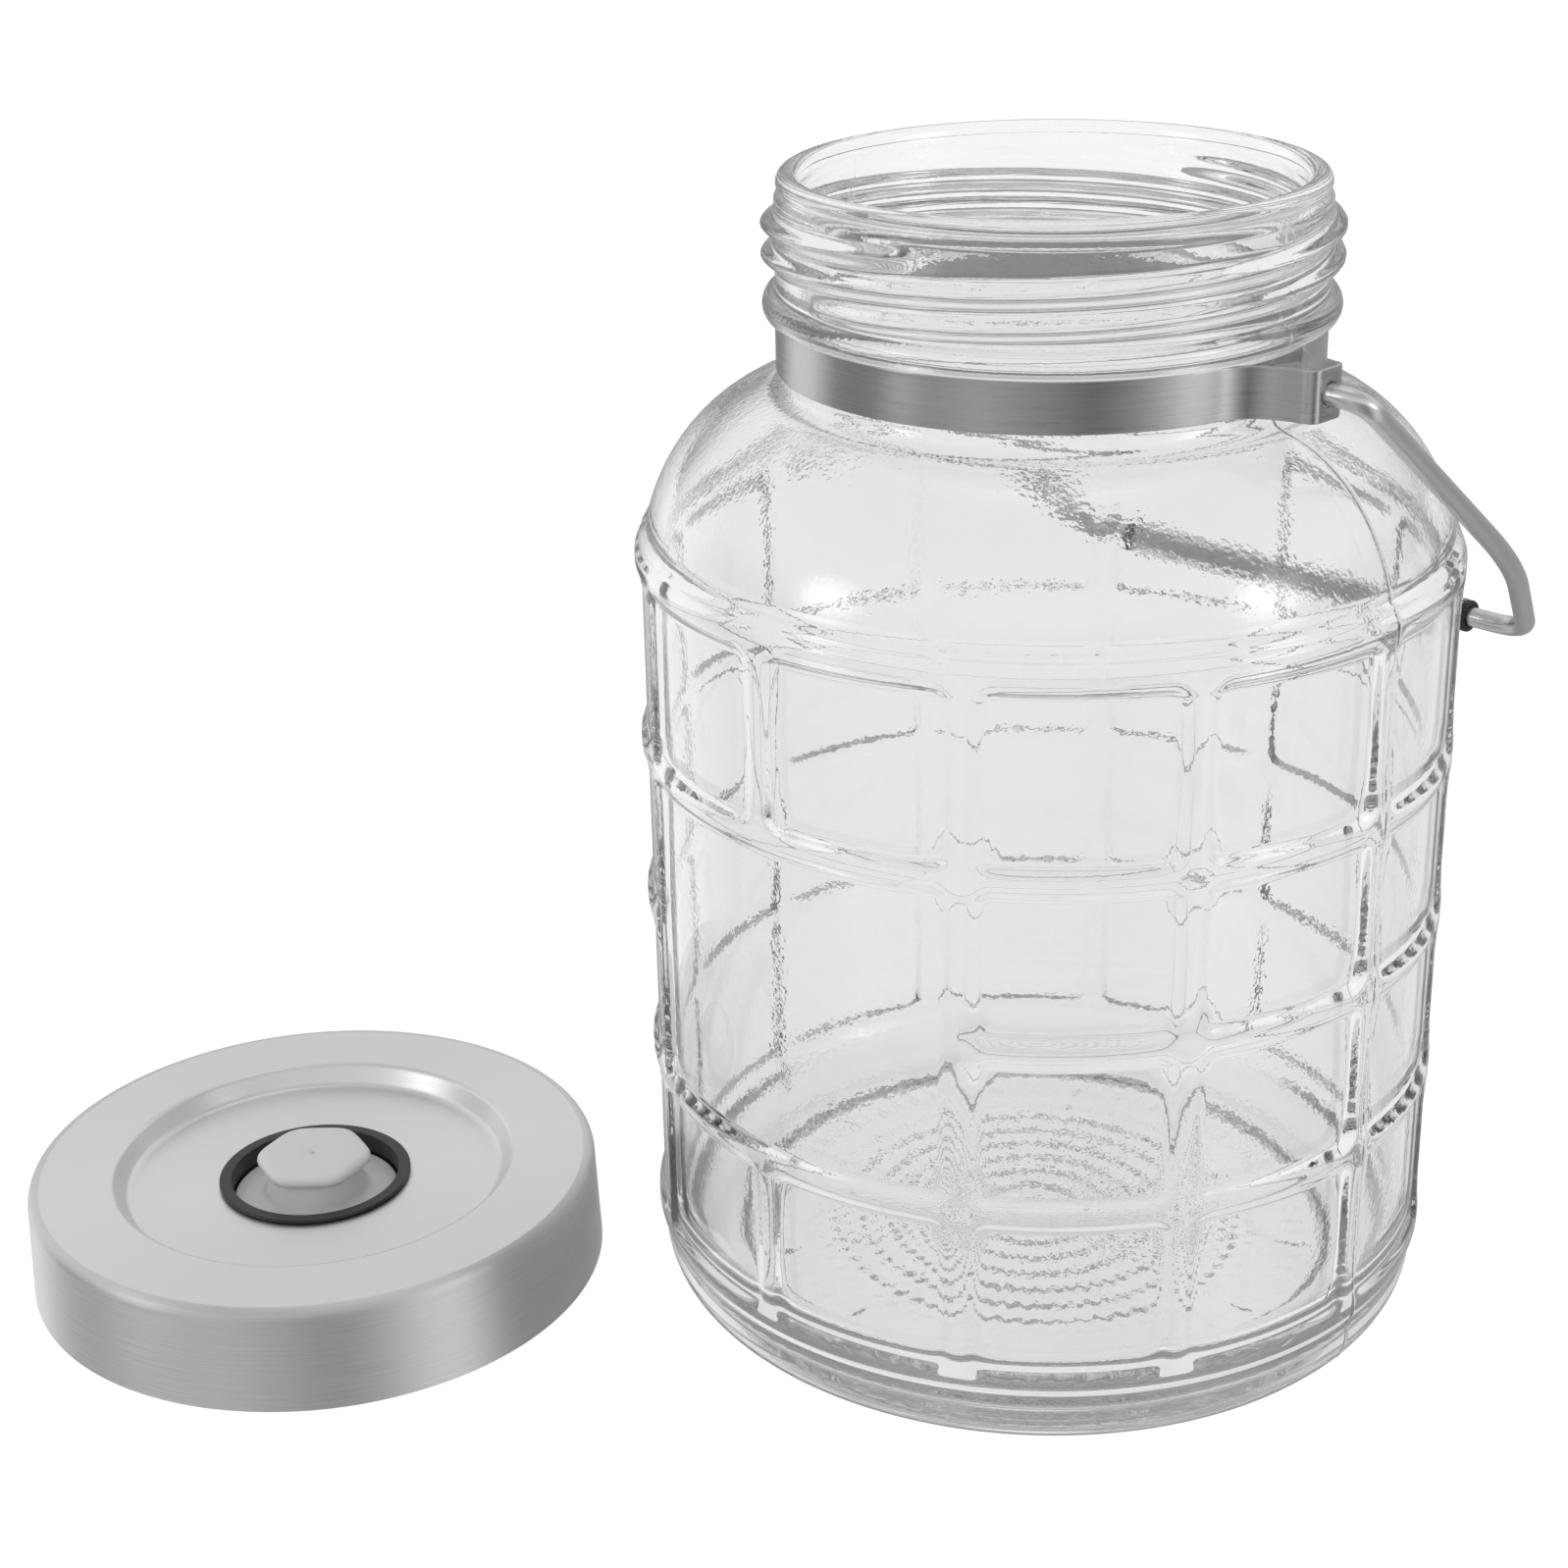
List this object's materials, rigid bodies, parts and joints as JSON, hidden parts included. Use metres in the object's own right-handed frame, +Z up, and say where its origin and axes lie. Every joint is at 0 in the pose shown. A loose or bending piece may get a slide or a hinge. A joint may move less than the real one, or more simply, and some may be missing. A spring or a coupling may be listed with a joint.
{
  "type": "fermentation jar",
  "caption": "Wide-mouth barrel jar of ribbed pressed glass with a screw thread, a steel neck band with a swinging wire handle, and its steel screw lid with a silicone valve lying beside it.",
  "frame": {"origin": "middle of the bottom of the whole part's bounding box, on the surface that the jar and the lid stand on", "axes": "+Z up along the jar's axis, -Y towards the viewer of the picture, +X to the right, so the lid lies on the -X side"},
  "size_m": [0.3264, 0.1904, 0.24],
  "materials": {
    "glass": "pressed, clear",
    "band_steel": "brushed along the strap",
    "wire_steel": "drawn wire, bright",
    "sleeve_plastic": "clear tube",
    "ring_rubber": "matt black",
    "lid_steel": "brushed round",
    "liner_plastic": "moulded black",
    "gasket_silicone": "soft white",
    "valve_silicone": "soft white"
  },
  "bodies": {
    "jar": {"jar_glass": "glass", "neck_band": "band_steel", "lid_shell": "lid_steel", "lid_liner": "liner_plastic", "lid_gasket": "gasket_silicone", "lid_valve": "valve_silicone"},
    "handle": {"handle_wire": "wire_steel", "grip_sleeve": "sleeve_plastic", "grip_ring_near": "ring_rubber", "grip_ring_far": "ring_rubber"}
  },
  "joints": [
    {"name": "handle_swing", "type": "hinge", "parent": "jar", "child": "handle", "pos_m": [0.05949, -0.01138, 0.2064], "axis": [0.766, -0.6428, 0], "range_deg": [0, 255]}
  ]
}
